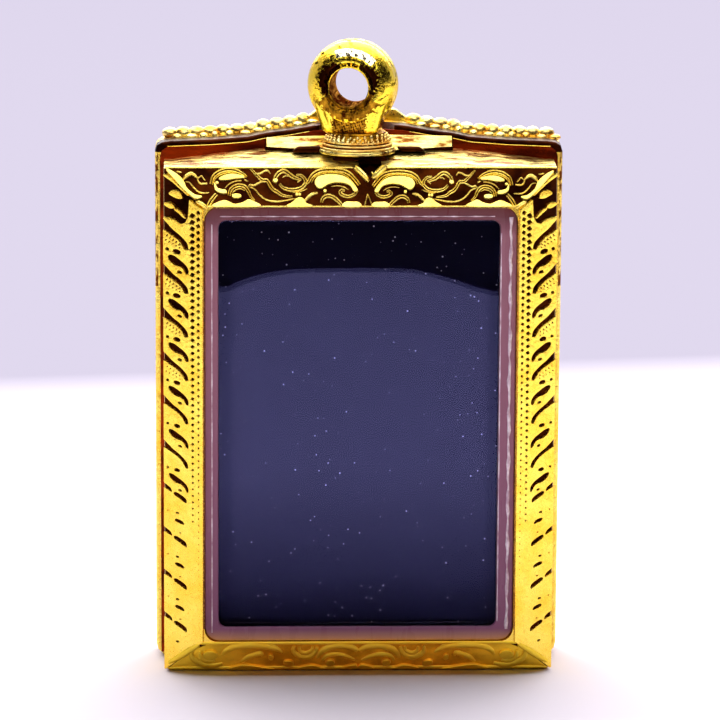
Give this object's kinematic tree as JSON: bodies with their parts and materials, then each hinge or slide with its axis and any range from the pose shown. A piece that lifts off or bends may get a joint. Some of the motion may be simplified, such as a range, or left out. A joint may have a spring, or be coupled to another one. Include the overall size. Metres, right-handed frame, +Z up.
{
  "type": "thai amulet casing pendant",
  "caption": "Rectangular gold-plated Thai amulet casing with cast scroll and leaf borders, a clear acrylic box holding a plain dark plate, a stepped arched top and a round bail.",
  "frame": {"origin": "centre of the bounding box at the flat base", "axes": "+Z up from the base to the bail, -Y the front that shows the window, +X to the right in the picture"},
  "size_m": [0.036, 0.0108, 0.0563],
  "materials": {
    "front_gold": "bright gold plate",
    "rear_gold": "bright gold plate",
    "bail_gold": "bright gold plate",
    "acrylic": "clear polished acrylic",
    "dark_plate": "dark lacquered, slightly dusty"
  },
  "bodies": {
    "root": {"front_frame": "front_gold", "rear_frame": "rear_gold", "bail": "bail_gold", "acrylic_front": "acrylic", "acrylic_back": "acrylic", "amulet_plate": "dark_plate"}
  },
  "joints": []
}
